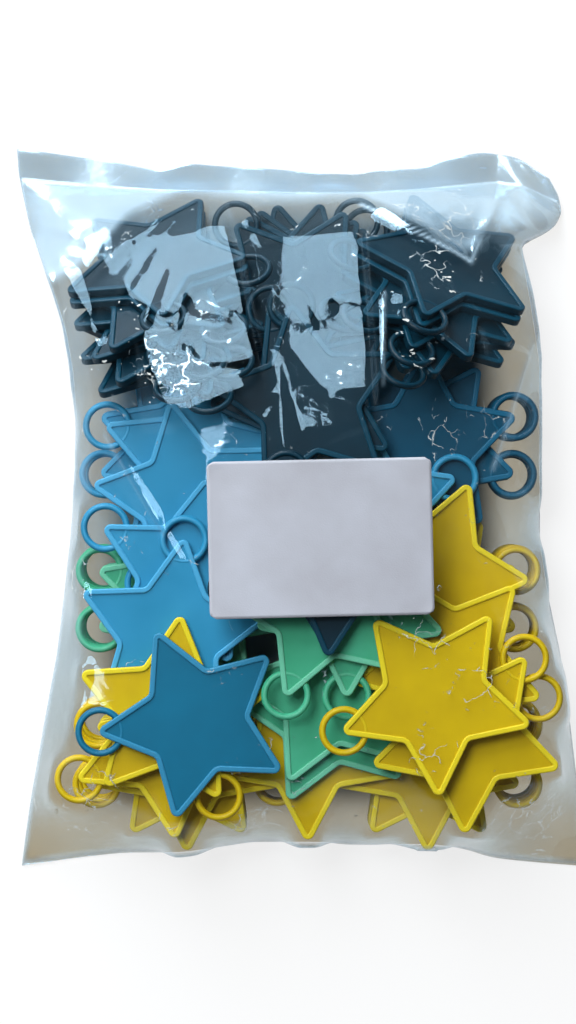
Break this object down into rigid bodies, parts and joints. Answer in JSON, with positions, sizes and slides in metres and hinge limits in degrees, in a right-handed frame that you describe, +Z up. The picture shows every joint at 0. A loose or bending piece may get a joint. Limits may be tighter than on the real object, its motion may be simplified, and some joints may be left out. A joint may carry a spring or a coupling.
{
  "type": "balloon weight",
  "caption": "Sealed clear film bag of flat star-shaped plastic balloon weights in five colours, each with a beaded rim and a ribbon ring at one tip, with a blank label.",
  "frame": {"origin": "middle of the bag's outline on the surface it lies on", "axes": "+Z up out of the label, +Y towards the header and its seal, +X to the right as the label faces the reader"},
  "size_m": [0.268, 0.3382, 0.0728],
  "materials": {
    "petrol_plastic": "satin moulded",
    "blue_plastic": "satin moulded",
    "sky_plastic": "satin moulded",
    "mint_plastic": "satin moulded",
    "yellow_plastic": "satin moulded",
    "clear_film": "clear glossy film",
    "label_paper": "matt white paper label"
  },
  "bodies": {
    "root": {"bag_back_film": "clear_film", "bag_front_film": "clear_film", "label": "label_paper", "row_petrol_left": "petrol_plastic", "row_petrol_left_first": "petrol_plastic", "row_petrol_right": "petrol_plastic", "row_petrol_right_first": "petrol_plastic", "stack_blue_upper_right": "blue_plastic", "stack_mint_left": "mint_plastic", "stack_petrol_top": "petrol_plastic", "stack_sky_upper_left": "sky_plastic", "stack_yellow_lower_left": "yellow_plastic", "stack_yellow_lower_right": "yellow_plastic", "stack_yellow_right": "yellow_plastic", "weight_blue_front": "blue_plastic", "weight_mint_left": "mint_plastic", "weight_mint_low": "mint_plastic", "weight_mint_low_back": "mint_plastic", "weight_mint_right": "mint_plastic", "weight_petrol_label": "petrol_plastic", "weight_petrol_label_back": "petrol_plastic", "weight_petrol_top": "petrol_plastic", "weight_petrol_top_back": "petrol_plastic", "weight_sky_fourth": "sky_plastic", "weight_sky_second": "sky_plastic", "weight_sky_third": "sky_plastic", "weight_sky_under_label": "sky_plastic", "weight_sky_upper": "sky_plastic", "weight_yellow_bottom": "yellow_plastic", "weight_yellow_front": "yellow_plastic", "weight_yellow_left_high": "yellow_plastic", "weight_yellow_left_low": "yellow_plastic", "weight_yellow_right_low": "yellow_plastic", "weight_yellow_right_middle": "yellow_plastic", "weight_yellow_right_upper": "yellow_plastic"}
  },
  "joints": []
}
